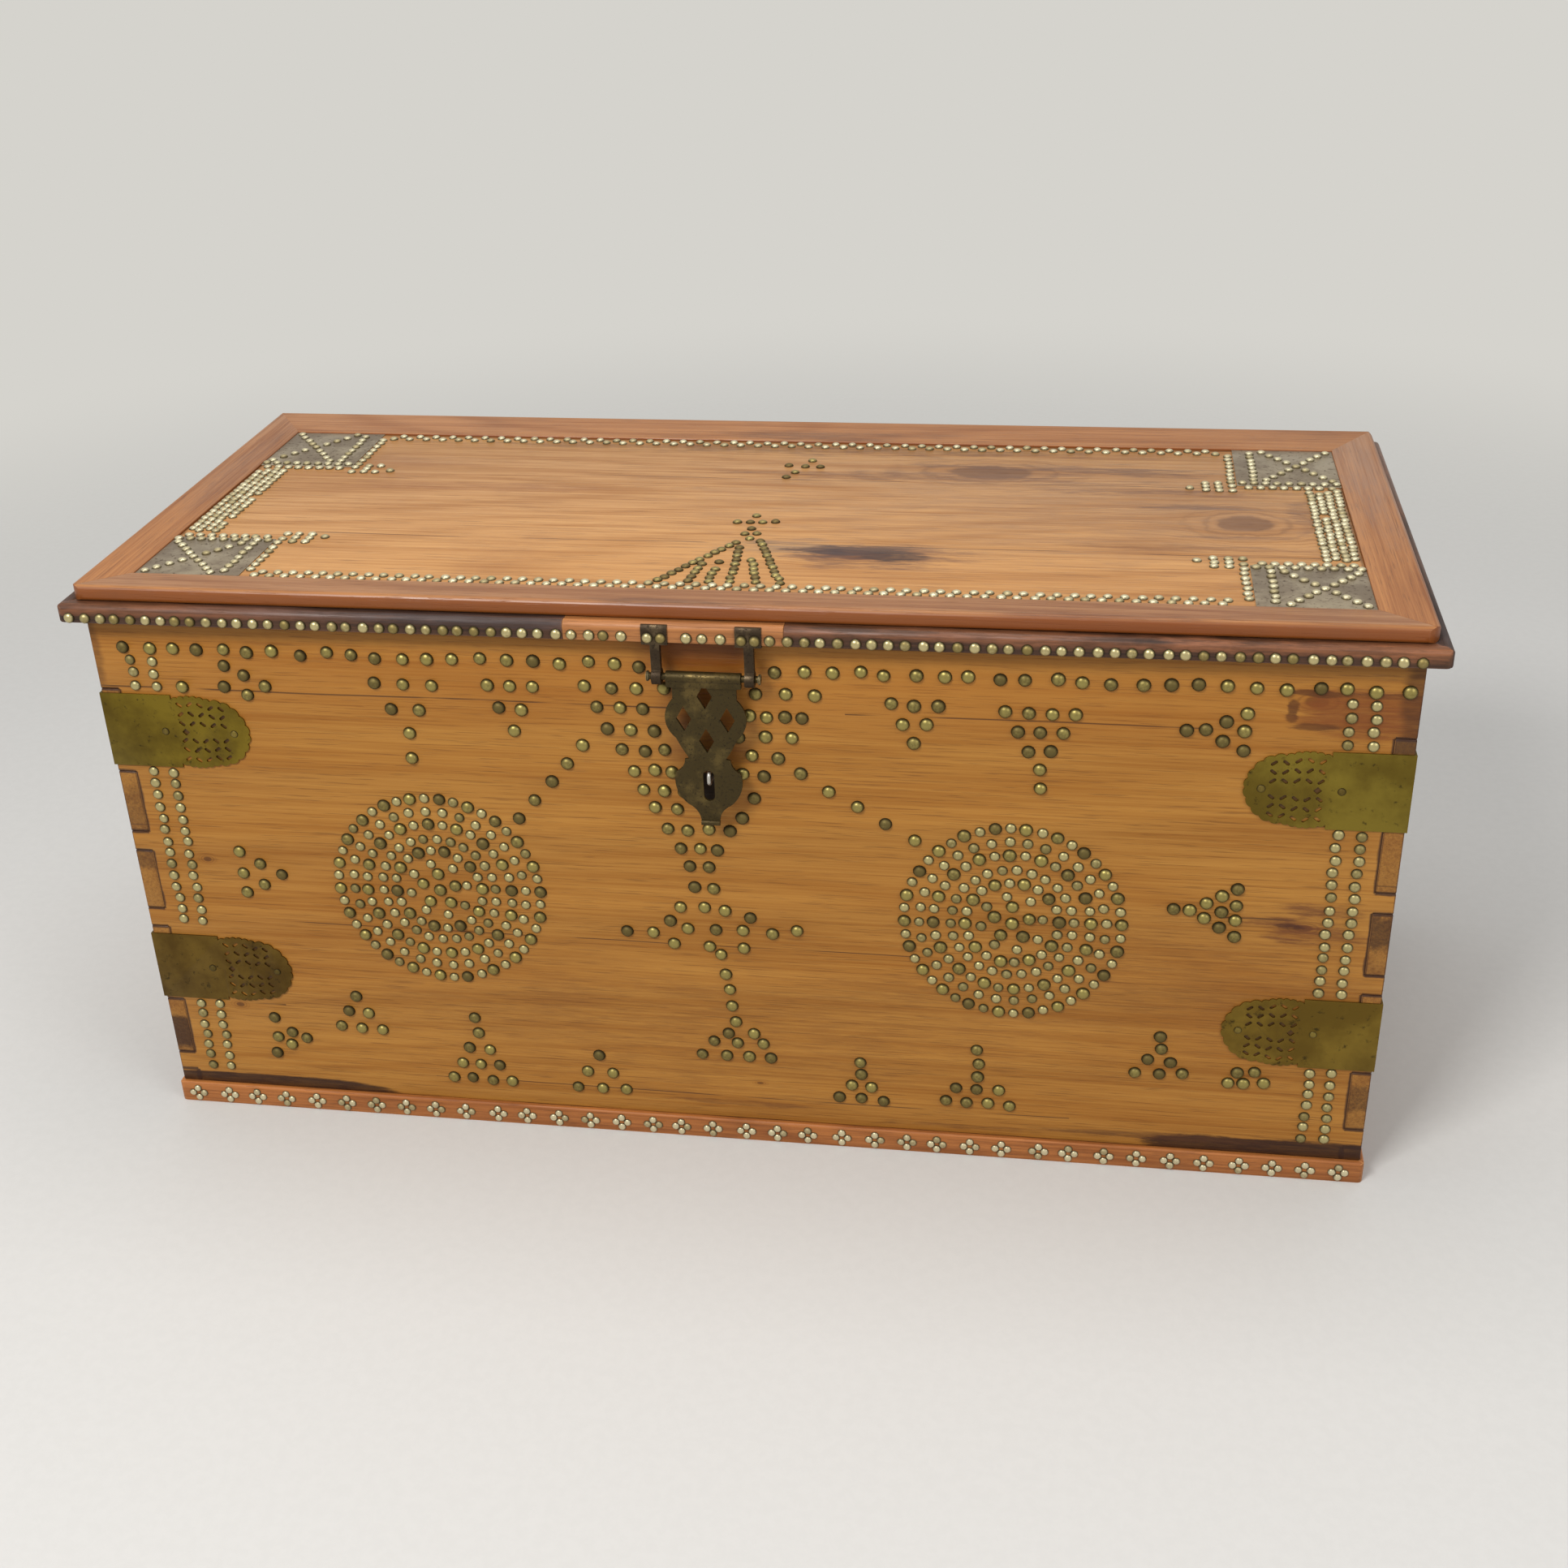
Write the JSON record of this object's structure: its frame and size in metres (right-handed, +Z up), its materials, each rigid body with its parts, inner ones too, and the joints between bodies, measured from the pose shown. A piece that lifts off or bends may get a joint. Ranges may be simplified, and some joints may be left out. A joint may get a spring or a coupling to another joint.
{
  "type": "studded dowry chest",
  "caption": "Low wooden chest with a hinged framed lid, brass studs in roundels, fans and rows, brass corner straps, a pierced hasp and drop handles.",
  "frame": {"origin": "on the floor under the middle of the chest", "axes": "+Z up, +X to the right along the studded front, +Y to the rear, the front facing -Y"},
  "size_m": [1.168, 0.516, 0.5474],
  "materials": {
    "front_wood": "oiled teak, satin, long horizontal grain",
    "case_wood": "oiled teak, satin",
    "inner_wood": "bare teak, matt",
    "plinth_wood": "oiled teak, satin, reddish",
    "lid_wood": "worn teak, satin, paler than the case",
    "rail_wood": "red-brown hardwood, satin",
    "lip_wood": "dark stained hardwood, satin",
    "lip_repair_wood": "newer unstained hardwood, satin",
    "strap_brass": "hammered sheet brass, dull olive tarnish",
    "plate_brass": "thin sheet brass, brown tarnish",
    "large_stud_brass": "domed brass, tarnished in the recesses",
    "small_stud_brass": "domed brass, bright and worn",
    "lid_stud_brass": "domed brass, half tarnished",
    "hasp_metal": "dark patinated bronze, satin",
    "iron": "blackened wrought iron"
  },
  "bodies": {
    "case": {"front_board": "front_wood", "back_board": "case_wood", "left_end_board": "case_wood", "right_end_board": "case_wood", "floor_plank_front": "inner_wood", "floor_plank_middle": "inner_wood", "floor_plank_back": "inner_wood", "till_side": "inner_wood", "till_floor": "inner_wood", "plinth_front": "plinth_wood", "plinth_back": "plinth_wood", "plinth_left": "plinth_wood", "plinth_right": "plinth_wood", "strap_upper_left": "strap_brass", "strap_upper_right": "strap_brass", "strap_lower_left": "strap_brass", "strap_lower_right": "strap_brass", "strap_nails": "strap_brass", "hasp_staple": "iron", "left_handle_lugs": "iron", "right_handle_lugs": "iron", "case_hinge_leaves": "iron", "hinge_pins": "iron", "case_hinge_nails": "iron", "top_row_studs": "large_stud_brass", "v_motif_studs": "large_stud_brass", "triangle_studs": "large_stud_brass", "column_studs": "small_stud_brass", "roundel_large_studs": "large_stud_brass", "roundel_small_studs": "small_stud_brass", "plinth_studs": "small_stud_brass"},
    "lid": {"lid_board": "lid_wood", "lid_rail_front": "rail_wood", "lid_rail_back": "rail_wood", "lid_rail_left": "rail_wood", "lid_rail_right": "rail_wood", "lid_lip_front_left": "lip_wood", "lid_lip_front_centre": "lip_repair_wood", "lid_lip_front_right": "lip_wood", "lid_lip_left": "lip_wood", "lid_lip_right": "lip_wood", "lid_lip_back": "lip_wood", "lid_corner_plate_front_left": "plate_brass", "lid_corner_plate_front_right": "plate_brass", "lid_corner_plate_back_left": "plate_brass", "lid_corner_plate_back_right": "plate_brass", "hasp_eye_left": "iron", "hasp_eye_right": "iron", "lid_hinge_leaves": "iron", "lid_hinge_nails": "iron", "lip_studs": "small_stud_brass", "lid_plate_studs": "lid_stud_brass", "lid_border_studs": "lid_stud_brass", "lid_fan_studs": "lid_stud_brass"},
    "hasp": {"hasp_plate": "hasp_metal", "hasp_rod": "iron"},
    "left_handle": {"left_bail": "iron"},
    "right_handle": {"right_bail": "iron"}
  },
  "joints": [
    {"name": "lid_hinge", "type": "hinge", "parent": "case", "child": "lid", "pos_m": [0, 0.244, 0.516], "axis": [-1, 0, 0], "range_deg": [0, 110]},
    {"name": "hasp_hinge", "type": "hinge", "parent": "lid", "child": "hasp", "pos_m": [-0.015, -0.2535, 0.485], "axis": [-1, 0, 0], "range_deg": [-4, 155]},
    {"name": "left_handle_hinge", "type": "hinge", "parent": "case", "child": "left_handle", "pos_m": [-0.575, 0, 0.33], "axis": [0, 1, 0], "range_deg": [-5, 185]},
    {"name": "right_handle_hinge", "type": "hinge", "parent": "case", "child": "right_handle", "pos_m": [0.575, 0, 0.33], "axis": [0, -1, 0], "range_deg": [-5, 185]}
  ]
}
